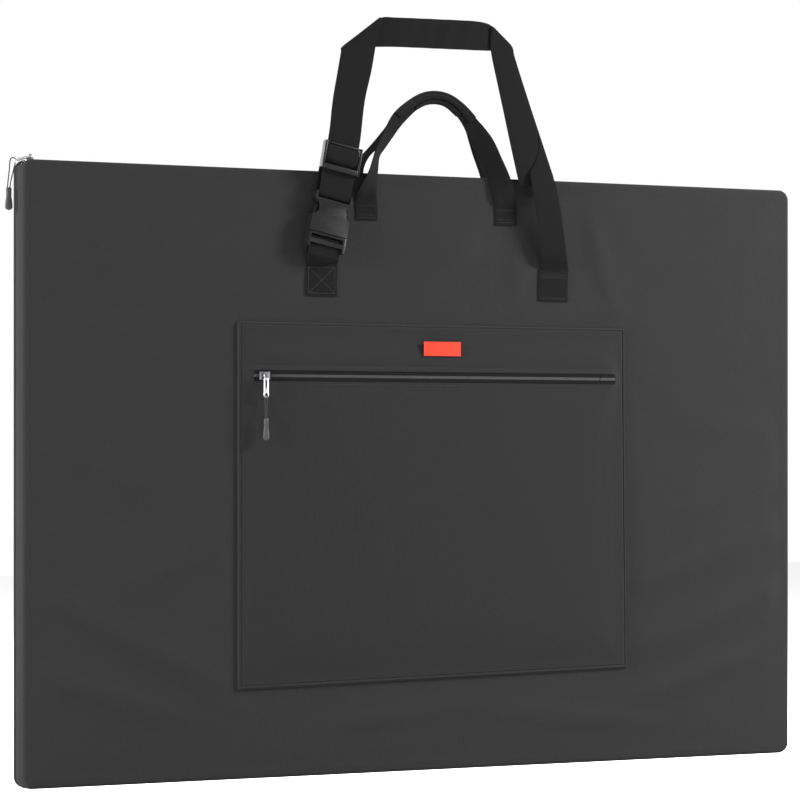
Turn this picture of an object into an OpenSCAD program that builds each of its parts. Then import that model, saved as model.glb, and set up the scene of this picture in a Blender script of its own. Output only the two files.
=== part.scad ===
// Portfolio case for large boards: two padded stiff covers joined by a narrow
// gusset, a zipped top, a zipped front pocket, a handle on each side and an
// adjustable shoulder strap with a side-release buckle.
// Origin: middle of the bottom face. +X is the case's right, +Y its back, +Z up.

/* [Case] */
// Width of the case
case_w = 955; // [900:5:1000]
// Height of the case, without the handles
case_h = 640; // [630:1:650]
// Thickness of the closed case
case_t = 25; // [25:0.5:28]
// Radius of the corners, seen from the front
corner_r = 18; // [14:1:20]
// Thickness of one padded cover
panel_t = 6; // [6:0.25:6.5]
// Thickness of the outer fabric and of the gusset
fabric_t = 1.2; // [1:0.1:1.4]
// Thickness of the stiff board inside a cover
board_t = 1.8; // [1.5:0.1:2]
// Thickness of the lining fabric
lining_t = 1; // [0.8:0.1:1.2]
// Everything sewn on the front is centred this far right of the middle
trim_x = 12; // [0:1:20]

/* [Top zip] */
// Depth of the zip below the top of the covers
zip_depth = 4.4; // [4.2:0.1:5]
// Length at each end of the zip that stays closed
zip_end_l = 25.5; // [24:0.5:30]
// Length of the metal tab on the slider
tab_l = 19.6; // [18:0.1:21]
// Angle at which the tab rests below level
tab_drop = 17; // [10:1:17]

/* [Pocket] */
// Width of the pocket
pocket_w = 486; // [440:2:490]
// Height of the pocket's lower edge
pocket_z = 97; // [90:1:110]
// Height of the pocket's upper edge
pocket_top = 479; // [470:1:485]
// Depth of the pocket when it is empty
pocket_d = 4.8; // [4.6:0.1:5.5]
// Height of the pocket's zip line
pocket_zip_z = 422.5; // [418:0.5:426]
// Length of the pocket's zip
pocket_zip_l = 452; // [400:2:456]

/* [Handles] */
// Width of the handle webbing
handle_web_w = 27; // [24:1:28]
// Distance between the middles of a handle's two legs
handle_span = 175; // [170:1:180]
// Height of a handle's fold above its sewn ends
handle_fold_z = 613; // [608:1:616]
// Height of the top of a handle
handle_top = 731; // [720:1:735]

/* [Shoulder strap] */
// Width of the shoulder webbing
strap_web_w = 38; // [34:1:38]
// Thickness of the webbing
web_t = 1.6; // [1.2:0.1:1.6]
// Height of the fold above the strap's sewn ends
strap_fold_z = 543; // [538:1:546]
// Height of the top of the strap
strap_top = 808; // [800:1:812]
// Angle by which the strap leans back
strap_lean = 2.4; // [2:0.1:2.6]
// Angle by which the buckle's side of the strap leans inwards
leg_tilt = 11.8; // [10:0.1:13]

/* [Hidden] */
$fn = 48;

// planes of the case
face_y = -case_t / 2;
gusset_y = case_t / 2 - panel_t;
half_w = case_w / 2;
padding_t = panel_t - fabric_t - board_t - lining_t;

// top zip, at its own heights
tape_t = 0.8;
coil_h = 2;
coil_in = 0.9;
coil_out = 2.6;
zip_fold_gap = 0.5;
tape_out = gusset_y - zip_fold_gap;
zip_z = case_h - zip_depth;
zip_flap_x = half_w - zip_end_l;
zip_margin = 7;
slider_x = -(half_w - 14);
slider_l = 12;
slider_half_w = 4.2;
slider_rail_y = 3.1;
slider_post = [5, 1];
crown_half_w = 2.4;
crown_t = 3;
crown_z = zip_z + 8.1;
pin_r = 1;
running_gap = 0.08;
plate_gap = 0.35;
plate_t = 1.15;
eye_r = 1.6;
tab_w = 5.6;
tab_t = 1.2;
cheek_t = 1;

// cords on the zip pulls
cord_d = 1.2;
cord_sides = 8;
grip_l = 23;

// pocket
pocket_x = trim_x - 1;
pocket_front = face_y - pocket_d - 1;
pocket_wall = 1;
hem_h = 1.5;
zip_window_h = 11;
label_size = [46, 1, 15.5];
label_z = 445.5;
pocket_zip_y = pocket_front + 0.6;
pocket_slider_x = pocket_x - pocket_zip_l / 2 + 12;
pocket_part_x = pocket_slider_x + slider_l / 2 + 2;
pocket_right_x = 2 * pocket_x - pocket_part_x;
pocket_fold_h = zip_window_h / 2 - zip_fold_gap;
pocket_tab_l = 23;
pocket_tab_end_r = 3.3;
stud_r = 1.5;
stud_cap_r = 2.6;
stud_h = 6.8;
pocket_pull_y = pocket_front - 4.2;

// sewn ends of webbing on the faces of the case
sewn_y = face_y - web_t;
sewn_gap = 1.2;

// handles: upright beside the case, then leaning in over its top
handle_y = face_y - 3;
handle_bend_z = case_h + 5;
handle_lean = 8;
handle_end_z = 589;
handle_leg_h = 47;
handle_leg_in = 7.5;
handle_chord = 93;
knee_drop = 29;
grip_fold_w = 13.5;
grip_fold_t = 4;
wide = 500;

// strap: its plane turns about a line in front of the two sewn ends
strap_y = face_y - 9;
leg_x = -133.4;
leg_z = 556;
strap_band_h = 31;
strap_end_z = 507.5;
strap_left_x = -132;
strap_right_x = 158.5;
band_left = [-57, -64];
band_right = [78, 108];

// side-release buckle, along the line of the strap's left leg
buckle_w = 45;
buckle_t = 11;
split_s = 17;
socket_top_s = 60;
hook_s = 56;
socket_slot_s = 53;
socket_slot_h = 3.2;
socket_depth = 31;
cavity_w = 39.4;
cavity_t = 7.4;
waist_s = 43;
waist_r = 8.5;
waist_x = buckle_w / 2 + 1.5;
arm_pivot_x = 13;
arm_pivot_s = split_s + 2.2;
arm_pin_r = 1.2;
arm_t = 3.8;
fork_t = 6.6;
plug_t = 9.2;
collar_h = 2.6;
tongue = [5, 5, 24];
front_bar_s = 4.5;
wrap_s = 10.4;
wrap_y = 0.5;
wrap_r = 1.8;
wrap_web_t = 1.5;
layer_front = -5.4;
layer_back = 3.6;

// adjuster
adjuster_s = 98.7;
adjuster_w = 46;
adjuster_h = 31;
bar_t = 2.8;

// ---------- shared shapes ----------

// Outline of the case, made smaller on every side by inset
module outline(inset) {
    r = corner_r - inset;
    w = half_w - inset;
    top = case_h - inset;
    difference() {
        translate([-w, inset]) square([2 * w, top - inset]);
        for (side = [-1, 1]) for (end = [[inset, 1], [top, -1]])
            translate([side * (w - r), end[0] + end[1] * r])
                difference() {
                    mirror([side < 0 ? 1 : 0, 0])
                        mirror([0, end[1] > 0 ? 1 : 0]) square(r + 1);
                    circle(r);
                }
    }
}

// Stands flat XZ shapes up, each a plate from y to y + t
module upright(y, t) {
    translate([0, y + t, 0]) rotate([90, 0, 0])
        for (i = [0 : $children - 1]) linear_extrude(t) children(i);
}

// A straight stretch of webbing from a to b, w wide at a and w2 wide at b
module web_run(a, b, w, w2 = 0) {
    d = (b - a) / norm(b - a);
    n = [-d[1], d[0]] / 2;
    e = w2 > 0 ? w2 : w;
    polygon([a + n * w, a - n * w, b - n * e, b + n * e]);
}

// Mirrors a piece to the back of the case
module to_back() {
    mirror([0, 1, 0]) children();
}

// A round tube that follows a list of points in an upright plane whose normal is n
function ring(p, d, n, r) = let (u = cross(n, d) / norm(cross(n, d)))
    [for (i = [0 : cord_sides - 1]) let (a = 360 * i / cord_sides)
        p + r * (cos(a) * u + sin(a) * n)];
function along(pts, i) = let (
        a = pts[max(i - 1, 0)],
        b = pts[min(i + 1, len(pts) - 1)]) (b - a) / norm(b - a);
module tube(pts, n, r) {
    last = len(pts) - 1;
    m = cord_sides;
    corners = [for (i = [0 : last]) each ring(pts[i], along(pts, i), n, r)];
    sides = [for (i = [0 : last - 1]) for (j = [0 : m - 1])
        [i * m + j, i * m + (j + 1) % m, (i + 1) * m + (j + 1) % m, (i + 1) * m + j]];
    ends = [[for (j = [m - 1 : -1 : 0]) j], [for (j = [0 : m - 1]) last * m + j]];
    polyhedron(corners, concat(sides, ends), convexity = 6);
}

// ---------- covers and gusset ----------

// Outer fabric of a cover, wrapped round its edge to hold the layers inside
module cover_skin() {
    difference() {
        upright(face_y, panel_t) outline(0);
        upright(face_y + fabric_t, panel_t) outline(fabric_t);
    }
}

// One layer inside a cover, from a depth behind the outer fabric
module cover_layer(depth, t) {
    upright(face_y + fabric_t + depth, t) outline(fabric_t);
}

module padding_layer() cover_layer(0, padding_t);
module board_layer() cover_layer(padding_t, board_t);
module lining_layer() cover_layer(padding_t + board_t, lining_t);

module front_cover() color("#3a3a3b") cover_skin();
module front_padding() color("#d8d8d4") padding_layer();
module front_board() color("#e9e9ea") board_layer();
module front_lining() color("#222223") lining_layer();
module back_cover() color("#3a3a3b") to_back() cover_skin();
module back_padding() color("#d8d8d4") to_back() padding_layer();
module back_board() color("#e9e9ea") to_back() board_layer();
module back_lining() color("#222223") to_back() lining_layer();

// One band down the left side, along the bottom and up the right side
module side_gusset() color("#2c2c2d") {
    mouth = half_w - zip_margin + 0.5;
    difference() {
        upright(-gusset_y, 2 * gusset_y)
            difference() {
                outline(0);
                outline(fabric_t);
            }
        translate([-mouth, -gusset_y - 1, case_h - corner_r])
            cube([2 * mouth, 2 * gusset_y + 2, corner_r + 1]);
    }
}

// ---------- top zip ----------

// One tape on the front side of the zip, from x0 to x1
module tape_strip(x0, x1, inner) {
    translate([x0, -tape_out, zip_z - tape_t / 2]) cube([x1 - x0, tape_out - inner, tape_t]);
}

// The closed end of the zip: both tapes and coils, with a slit for the slider
module zip_end() {
    outer = half_w - zip_margin;
    inner = zip_flap_x + zip_fold_gap;
    for (side = [-1, 1]) mirror([0, side > 0 ? 1 : 0, 0]) {
        tape_strip(inner, outer, coil_out);
        translate([inner, -coil_out, zip_z - coil_h / 2])
            cube([outer - inner, coil_out - coil_in, coil_h]);
    }
    translate([outer - 1, -coil_out, zip_z - coil_h / 2]) cube([1, 2 * coil_out, coil_h]);
}

module zip_end_left() color("#1c1c1d") mirror([1, 0, 0]) zip_end();
module zip_end_right() color("#1c1c1d") zip_end();

// Half of the opening stretch of the zip, on the front side
module zip_tape() tape_strip(-zip_flap_x, zip_flap_x, coil_out);
module zip_coil() {
    translate([-zip_flap_x, -coil_out, zip_z - coil_h / 2])
        cube([2 * zip_flap_x, coil_out - coil_in, coil_h]);
}

module front_zip_tape() color("#262627") zip_tape();
module front_zip_coil() color("#1c1c1d") zip_coil();
module back_zip_tape() color("#262627") to_back() zip_tape();
module back_zip_coil() color("#1c1c1d") to_back() zip_coil();

// A slider's two plates and the post between them; its tape lies in the XY plane
module slider_plates() {
    half_coil = coil_h / 2;
    inner_z = half_coil + plate_gap;
    for (side = [-1, 1]) mirror([0, 0, side > 0 ? 0 : 1]) {
        translate([-slider_l / 2, -slider_half_w, inner_z])
            cube([slider_l, 2 * slider_half_w, plate_t]);
        for (rail = [-1, 1])
            translate([-slider_l / 2, rail > 0 ? slider_rail_y : -slider_half_w, tape_t / 2 + plate_gap])
                cube([slider_l, slider_half_w - slider_rail_y, inner_z]);
    }
    linear_extrude(2 * inner_z + 0.2, center = true) square(slider_post, center = true);
}

module main_slider() color("#8c8c8e") {
    crown_h = crown_z - zip_z;
    translate([slider_x, 0, zip_z]) {
        slider_plates();
        difference() {
            upright(-crown_t / 2, crown_t) {
                polygon([
                    [-slider_l / 2 + 1, coil_h], [slider_l / 2 - 1, coil_h],
                    [crown_half_w, crown_h], [-crown_half_w, crown_h]
                ]);
                translate([0, crown_h]) circle(crown_half_w);
            }
            translate([0, 0, crown_h]) rotate([90, 0, 0])
                cylinder(r = pin_r + running_gap, h = 2 * crown_t, center = true);
        }
    }
}

// Tab: two cheeks on a pin through the crown, then a plate with an eye at its end
module main_pull_tab() color("#a2a2a4") {
    half = tab_w / 2;
    cheek_l = 5.5;
    translate([slider_x, 0, crown_z]) rotate([0, -tab_drop, 0]) {
        rotate([90, 0, 0]) cylinder(r = pin_r, h = tab_w, center = true);
        for (side = [-1, 1])
            upright(side > 0 ? half - cheek_t : -half, cheek_t) {
                circle(pin_r + 0.6);
                translate([-cheek_l, -tab_t / 2]) square([cheek_l, tab_t]);
            }
        difference() {
            translate([-tab_l, -half, -tab_t / 2]) cube([tab_l - cheek_l + 1.5, tab_w, tab_t]);
            translate([-tab_l + tab_w / 2, 0, 0]) cylinder(r = eye_r, h = 2 * tab_t, center = true);
        }
    }
}

// Route of the cord on the main pull: up from the grip, through the eye and back
main_grip_z = 611;
main_cord_route = [
    [-488.4, 611], [-488.2, 615], [-487.6, 620], [-487, 625], [-486.4, 630], [-486, 635],
    [-485.6, 638.4], [-484.5, 640.7], [-482.3, 641.5], [-480.4, 640.4], [-479.8, 638.2],
    [-480.4, 634.5], [-481.6, 630], [-482.8, 625], [-484.2, 620], [-485.3, 615], [-485.8, 611]
];
module main_pull_cord() color("#2a2a2b")
    tube([for (p = main_cord_route) [p[0], 0, p[1]]], [0, 1, 0], cord_d / 2);

// Moulded end of a pull, hanging from its top face
module pull_grip(w0, w1, t) {
    low = -grip_l + w1 / 2;
    upright(-t / 2, t) {
        polygon([[-w0 / 2, 0], [w0 / 2, 0], [w1 / 2 - 0.3, low], [0.3 - w1 / 2, low]]);
        translate([0, low]) circle(w1 / 2);
    }
}
module main_pull_grip() color("#58585a")
    translate([-487.1, 0, main_grip_z]) pull_grip(5, 7.6, 3.4);

// ---------- front pocket ----------

// A flat stretch of the pocket's front between its side hems, from z0 to z1
module pocket_sheet(z0, z1) {
    translate([pocket_x - pocket_zip_l / 2, pocket_front, z0])
        cube([pocket_zip_l, pocket_wall, z1 - z0]);
}

// The large panel below the pocket's zip, and the band above it
module pocket_panel() color("#383839")
    pocket_sheet(pocket_z + hem_h, pocket_zip_z - zip_window_h / 2);
module pocket_band() color("#333334")
    pocket_sheet(pocket_zip_z + zip_window_h / 2, pocket_top - hem_h);

// Turned edges of the panel and band, sewn down on the front cover
module pocket_side_hems() color("#363637") {
    hem_w = (pocket_w - pocket_zip_l) / 2;
    for (x = [pocket_x - pocket_w / 2, pocket_x + pocket_zip_l / 2])
        translate([x, pocket_front, pocket_z])
            cube([hem_w, face_y - pocket_front, pocket_top - pocket_z]);
}
module pocket_end_hems() color("#363637") {
    for (z = [pocket_z, pocket_top - hem_h])
        translate([pocket_x - pocket_zip_l / 2, pocket_front, z])
            cube([pocket_zip_l, face_y - pocket_front, hem_h]);
}

// Half of the pocket's zip above its middle line, from x0 to x1: tape, then coil
module pocket_tape(x0 = pocket_part_x, x1 = pocket_right_x, out = pocket_fold_h) {
    translate([x0, -tape_t / 2, coil_out]) cube([x1 - x0, tape_t, out - coil_out]);
}
module pocket_coil(x0 = pocket_part_x, x1 = pocket_right_x) {
    translate([x0, -coil_h / 2, coil_in]) cube([x1 - x0, coil_h, coil_out - coil_in]);
}
module at_pocket_zip() translate([0, pocket_zip_y, pocket_zip_z]) children();

// The ends of the pocket's zip that stay closed, where the slider stops
module pocket_zip_ends() color("#1c1c1d") at_pocket_zip() {
    x0 = pocket_x - pocket_zip_l / 2;
    x1 = pocket_part_x - zip_fold_gap;
    for (end = [0, 1]) translate([end * 2 * pocket_x, 0, 0]) mirror([end, 0, 0]) {
        for (side = [0, 1]) mirror([0, 0, side]) {
            pocket_tape(x0, x1, zip_window_h / 2);
            pocket_coil(x0, x1);
        }
        translate([x0, -tape_t / 2, -coil_out]) cube([1, tape_t, 2 * coil_out]);
    }
}

module pocket_upper_tape() color("#262627") at_pocket_zip() pocket_tape();
module pocket_upper_coil() color("#1c1c1d") at_pocket_zip() pocket_coil();
module pocket_lower_tape() color("#262627") at_pocket_zip() mirror([0, 0, 1]) pocket_tape();
module pocket_lower_coil() color("#1c1c1d") at_pocket_zip() mirror([0, 0, 1]) pocket_coil();

// Slider with a round stud in front, which carries the tab
module pocket_slider() color("#8c8c8e") {
    translate([pocket_slider_x, 0, 0]) at_pocket_zip() {
        rotate([90, 0, 0]) slider_plates();
        plate_y = -coil_h / 2 - plate_gap;
        translate([0, plate_y, 0]) rotate([90, 0, 0]) cylinder(r = stud_r, h = stud_h + plate_y);
        translate([0, 1 - stud_h, 0]) rotate([90, 0, 0]) cylinder(r = stud_cap_r, h = 1);
    }
}

module pocket_pull_tab() color("#a2a2a4") {
    low = pocket_tab_end_r - pocket_tab_l;
    top_w = 4.8;
    low_w = 5.8;
    window = [2, 8];
    translate([pocket_slider_x, pocket_pull_y, pocket_zip_z]) difference() {
        upright(-tab_t / 2, tab_t) {
            circle(2 * stud_r);
            web_run([0, 0], [0, low], top_w, low_w);
            translate([0, low]) circle(pocket_tab_end_r);
        }
        upright(-tab_t, 2 * tab_t) {
            circle(stud_r + running_gap);
            translate([0, low]) circle(eye_r);
            translate([0, low / 2 + 1]) square(window, center = true);
        }
    }
}

// Route of the cord on the pocket's pull, as y and height from the grip's top
pocket_cord_h = 24;
pocket_cord_route = [
    [-0.8, 0], [-1.2, 4], [-1.7, 9], [-2.2, 14], [-2.5, 19], [-2.45, 22.4], [-1.5, 24.4],
    [0, 25.1], [1.5, 24.4], [2.45, 22.4], [2.5, 19], [2.2, 14], [1.7, 9], [1.2, 4], [0.8, 0]
];
pocket_grip_z = pocket_zip_z - pocket_tab_l - pocket_cord_h + 2;
module pocket_pull_cord() color("#2a2a2b")
    translate([pocket_slider_x, pocket_pull_y, pocket_grip_z])
        tube([for (p = pocket_cord_route) [0, p[0], p[1]]], [1, 0, 0], cord_d / 2);
module pocket_pull_grip() color("#3c3c3d")
    translate([pocket_slider_x, pocket_pull_y, pocket_grip_z]) pull_grip(5, 7, 3.6);

module pocket_label() color("#d8332c")
    translate([trim_x - 21, pocket_front - label_size[1], label_z]) cube(label_size);

// ---------- handles ----------

handle_mid_x = trim_x - 2;
handle_x = [for (side = [-1, 1]) handle_mid_x + side * handle_span / 2];

// One handle seen from the front, with its middle folded narrow
module handle_outline(legs_only) {
    foot_z = handle_fold_z + 1;
    leg_w = handle_web_w - 2;
    for (side = [-1, 1]) {
        foot = [handle_mid_x + side * handle_span / 2 - side, foot_z];
        top = foot + [-side * handle_leg_in, handle_leg_h];
        knee = [handle_mid_x + side * handle_chord / 2, handle_top - knee_drop];
        web_run(foot, top, leg_w);
        if (!legs_only) {
            web_run(top, knee, leg_w - 4, grip_fold_w);
            translate(top) circle(leg_w / 2 - 2);
        }
    }
    if (!legs_only) handle_middle();
}

// The folded middle of a handle, an arc between the two knees
module handle_middle() {
    rise = knee_drop - grip_fold_w / 2;
    r = (handle_chord * handle_chord / 4 + rise * rise) / (2 * rise);
    lap = 4;
    translate([handle_mid_x, handle_top - grip_fold_w / 2 - r]) intersection() {
        difference() {
            circle(r + grip_fold_w / 2);
            circle(r - grip_fold_w / 2);
        }
        translate([-handle_chord / 2 - lap, r - rise - lap])
            square([handle_chord + 2 * lap, rise + grip_fold_w + lap]);
    }
}

module above_bend() {
    intersection() {
        children();
        translate([-wide / 2, -1]) square([wide, wide]);
    }
}

// Free part of the front handle: upright beside the case, then leaning in
module handle() {
    upright(handle_y - web_t / 2, web_t) intersection() {
        handle_outline(true);
        translate([-wide / 2, 0]) square([wide, handle_bend_z + 1]);
    }
    translate([0, handle_y, handle_bend_z]) rotate([-handle_lean, 0, 0]) {
        upright(-web_t / 2, web_t) above_bend()
            translate([0, -handle_bend_z]) handle_outline(false);
        upright(-grip_fold_t / 2, grip_fold_t) above_bend()
            translate([0, -handle_bend_z]) handle_middle();
    }
}

// Ends of a handle sewn flat on the case
module handle_ends() {
    for (x = handle_x)
        translate([x - handle_web_w / 2, sewn_y, handle_end_z])
            cube([handle_web_w, web_t, handle_fold_z - handle_end_z]);
}

module front_handle() color("#29292a") handle();
module front_handle_ends() color("#29292a") handle_ends();
module back_handle() color("#29292a") to_back() handle();
module back_handle_ends() color("#29292a") to_back() handle_ends();

// ---------- shoulder strap ----------

// Frame of the strap: origin on its turning line, Z up along the leaning strap
module on_strap() {
    translate([0, strap_y, strap_fold_z]) rotate([-strap_lean, 0, 0]) children();
}

// Frame of the left leg: origin at the plug's lower end, Z along the leg
module on_leg() {
    on_strap() translate([leg_x, 0, leg_z - strap_fold_z]) rotate([0, leg_tilt, 0]) children();
}

// A point on the middle line of the left leg, s along it, in the strap's plane
function leg_point(s) = [
    leg_x + s * sin(leg_tilt),
    leg_z - strap_fold_z + s * cos(leg_tilt)
];

// The webbing from the right sewn end over the top to the buckle's bar
module shoulder_strap() color("#29292a") {
    top = strap_top - strap_fold_z;
    band_low = top - strap_band_h;
    corner_s = (band_low - 4 - leg_point(0)[1]) / cos(leg_tilt);
    left = leg_point(corner_s);
    side = strap_web_w / 2;
    bend = case_h - strap_fold_z;
    on_strap() upright(layer_front - web_t / 2, web_t) {
        web_run(leg_point(socket_top_s - 4), left, strap_web_w);
        polygon([
            left + [-side, -1], left + [-side, 2], [band_left[0], top],
            [band_left[1], band_low], left + [side - 2, -8]
        ]);
        polygon([
            [band_left[0] - 5, top], [band_right[0] + 3, top - 1],
            [band_right[0] + 1, band_low + 1], [band_left[1] - 4, band_low]
        ]);
        polygon([
            [band_right[0], top], [band_right[1], band_low + 7],
            [band_right[1] - 2, band_low], [band_right[0], band_low]
        ]);
        web_run([band_right[1] - 14, band_low + 5], [136, bend - 6], strap_web_w - 10, strap_web_w);
        web_run([142, bend + 2], [strap_right_x, 1.5], strap_web_w - 8, strap_web_w - 4);
    }
}

module strap_end(x) {
    translate([x - strap_web_w / 2, sewn_y, strap_end_z])
        cube([strap_web_w, web_t, strap_fold_z - sewn_gap - strap_end_z]);
}
module strap_end_left() color("#29292a") strap_end(strap_left_x);
module strap_end_right() color("#29292a") strap_end(strap_right_x);

// Three-bar adjuster: the webbing runs over the top bar and behind the other two
module strap_adjuster() color("#222223") on_leg() translate([0, 0, adjuster_s]) {
    rail = (adjuster_w - strap_web_w) / 2 - 0.4;
    front = layer_front - web_t / 2 - 4;
    back = layer_front + web_t / 2 + 3.2;
    for (side = [-1, 1])
        translate([side > 0 ? adjuster_w / 2 - rail : -adjuster_w / 2, front, -adjuster_h / 2])
            cube([rail, back - front, adjuster_h]);
    top_bar = [adjuster_w, bar_t, 3];
    low_bar = [adjuster_w, bar_t, 4.5];
    middle_bar = [adjuster_w, bar_t, 12];
    translate([-adjuster_w / 2, back - bar_t, adjuster_h / 2 - top_bar[2]]) cube(top_bar);
    translate([-adjuster_w / 2, front + 0.6, 4 - adjuster_h / 2]) cube(low_bar);
    translate([-adjuster_w / 2, front + 0.4, -1]) cube(middle_bar);
}

// The webbing's end: back from the buckle's bar and up behind the leg
module strap_return() color("#29292a") on_leg()
    upright(layer_back - web_t / 2, web_t)
        translate([-strap_web_w / 2, socket_top_s - 1])
            square([strap_web_w, adjuster_s - socket_top_s + 11]);

// Outline of the buckle's socket, with the hollows at its sides
module socket_outline() {
    difference() {
        union() {
            translate([-buckle_w / 2, split_s]) square([buckle_w, hook_s + 1 - split_s]);
            translate([1 - buckle_w / 2, hook_s]) square([buckle_w - 2, socket_top_s - hook_s]);
        }
        for (side = [-1, 1]) translate([side * waist_x, waist_s]) circle(waist_r);
    }
}

module buckle_socket() color("#1d1d1e") on_leg() difference() {
    slot_w = strap_web_w + 1.2;
    entry_y = 2.6;
    upright(-buckle_t / 2, buckle_t) socket_outline();
    translate([-cavity_w / 2, -cavity_t / 2, split_s - 1])
        cube([cavity_w, cavity_t, socket_depth + 1]);
    translate([-slot_w / 2, -buckle_t, socket_slot_s])
        cube([slot_w, 2 * buckle_t, socket_slot_h]);
    for (side = [-1, 1])
        translate([-slot_w / 2, side > 0 ? entry_y : -entry_y - buckle_t, socket_slot_s])
            cube([slot_w, buckle_t, buckle_t]);
}

// The plug: collar, guide tongue, wrap bar, front bar and two side legs
module buckle_plug() color("#1d1d1e") on_leg() {
    inner = strap_web_w / 2 + 0.5;
    half = plug_t / 2;
    top = split_s - 0.4;
    fork = [35, fork_t, 4.8];
    arm_slot = arm_t + 0.8;
    for (side = [-1, 1])
        translate([side > 0 ? inner : -buckle_w / 2, -half, 0])
            cube([buckle_w / 2 - inner, plug_t, top]);
    translate([-buckle_w / 2, -half, top - collar_h]) cube([buckle_w, plug_t, collar_h]);
    at_wrap() cylinder(r = wrap_r, h = buckle_w - 2, center = true);
    translate([-buckle_w / 2, -half, front_bar_s]) cube([buckle_w, 1.6, 4.7]);
    difference() {
        translate([-fork[0] / 2, -fork_t / 2, split_s - 1]) cube(fork);
        for (side = [-1, 1]) translate([side * arm_pivot_x, 0, arm_pivot_s]) {
            rotate([90, 0, 0]) cylinder(r = 3, h = arm_slot, center = true);
            translate([-4, -arm_slot / 2, 0]) cube([9, arm_slot, fork[2] + 1]);
        }
    }
    for (side = [-1, 1]) translate([side * arm_pivot_x, 0, arm_pivot_s])
        rotate([90, 0, 0]) cylinder(r = arm_pin_r, h = fork_t, center = true);
    translate([-tongue[0] / 2, -tongue[1] / 2, split_s]) cube(tongue);
}

// Frame of the bar that the lower webbing wraps round, with Z along the bar
module at_wrap() translate([0, wrap_y, wrap_s]) rotate([0, 90, 0]) children();

// A springy latch arm of the plug, pressed inwards at the socket's hollow
module latch_arm(side) {
    out = cavity_w / 2 - 0.6;
    on_leg() mirror([side < 0 ? 1 : 0, 0, 0]) difference() {
        upright(-arm_t / 2, arm_t) {
            translate([arm_pivot_x, arm_pivot_s]) circle(2 * arm_pin_r);
            polygon([
                [arm_pivot_x - 1.6, arm_pivot_s], [arm_pivot_x + 2, arm_pivot_s],
                [out, waist_s - 8], [out, waist_s + 1], [out - 3.4, waist_s + 4],
                [out - 6.4, waist_s + 2], [out - 4, waist_s - 7]
            ]);
        }
        translate([arm_pivot_x, 0, arm_pivot_s]) rotate([90, 0, 0])
            cylinder(r = arm_pin_r + running_gap, h = 2 * arm_t, center = true);
    }
}
module left_latch_arm() color("#242425") latch_arm(-1);
module right_latch_arm() color("#242425") latch_arm(1);

// Short webbing that joins the plug's wrap bar to the left sewn end
module buckle_web() color("#29292a") on_leg() {
    low = strap_fold_z - leg_z + 2;
    web_w = strap_web_w - 0.4;
    outer_r = wrap_r + wrap_web_t;
    difference() {
        union() {
            at_wrap() cylinder(r = outer_r, h = web_w, center = true);
            translate([-web_w / 2, wrap_y - outer_r, low]) cube([web_w, 2 * outer_r, wrap_s - low]);
        }
        at_wrap() cylinder(r = wrap_r, h = 2 * web_w, center = true);
        translate([-web_w, wrap_y - wrap_r, low - 1]) cube([2 * web_w, 2 * wrap_r, wrap_s - low + 1]);
    }
}

front_cover();
front_padding();
front_board();
front_lining();
back_cover();
back_padding();
back_board();
back_lining();
side_gusset();
zip_end_left();
zip_end_right();
front_zip_tape();
front_zip_coil();
back_zip_tape();
back_zip_coil();
main_slider();
main_pull_tab();
main_pull_cord();
main_pull_grip();
pocket_panel();
pocket_band();
pocket_upper_tape();
pocket_upper_coil();
pocket_lower_tape();
pocket_lower_coil();
pocket_side_hems();
pocket_end_hems();
pocket_zip_ends();
pocket_slider();
pocket_pull_tab();
pocket_pull_cord();
pocket_pull_grip();
pocket_label();
front_handle();
front_handle_ends();
back_handle();
back_handle_ends();
shoulder_strap();
strap_end_left();
strap_end_right();
strap_adjuster();
strap_return();
buckle_socket();
buckle_plug();
buckle_web();
left_latch_arm();
right_latch_arm();
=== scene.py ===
"""Looks of the portfolio case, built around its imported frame. Helpers take millimetres."""
import math

import bmesh
import bpy
import numpy as np
from mathutils import Matrix, Vector, noise


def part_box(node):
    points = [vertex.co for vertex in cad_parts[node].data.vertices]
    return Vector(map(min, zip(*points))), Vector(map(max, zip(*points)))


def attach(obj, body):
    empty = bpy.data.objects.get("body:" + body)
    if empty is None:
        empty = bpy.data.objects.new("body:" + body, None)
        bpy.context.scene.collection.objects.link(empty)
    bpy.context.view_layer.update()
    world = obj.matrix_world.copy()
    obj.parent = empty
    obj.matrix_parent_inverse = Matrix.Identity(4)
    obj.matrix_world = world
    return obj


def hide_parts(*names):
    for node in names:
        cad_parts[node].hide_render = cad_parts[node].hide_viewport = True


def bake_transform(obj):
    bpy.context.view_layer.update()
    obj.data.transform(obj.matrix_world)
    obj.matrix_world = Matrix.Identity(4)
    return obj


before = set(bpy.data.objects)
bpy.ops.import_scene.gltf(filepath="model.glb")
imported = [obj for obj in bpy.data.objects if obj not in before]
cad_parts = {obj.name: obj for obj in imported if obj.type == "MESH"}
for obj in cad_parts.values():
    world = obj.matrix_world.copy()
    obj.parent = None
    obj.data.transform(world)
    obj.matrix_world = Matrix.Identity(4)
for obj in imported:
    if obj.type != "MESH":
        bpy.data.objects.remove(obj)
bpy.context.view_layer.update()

MM = 0.001
SHARP = 48

# Case. Its corners are rounder, 18 mm, in the part's source
HALF_W = 477.5
CASE_H = 640.0
FACE_Y = -12.5
CORNER_R = 12.0
RIM_R = 4.5
EDGE_IN = 1.2
SEAM_Y = 6.42
SKIN_T = 1.0
COVER_CELL = 6.5
GUSSET_CELL = 12.0

# Main zip
ZIP_Z = 635.6
ZIP_FLAP_X = 452.0
ZIP_END_X = 473.6
TAB_PIN = (-463.5, 0, 643.7)
TAB_DROP = math.radians(17)
TAPE_STEP = 12.0

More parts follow.
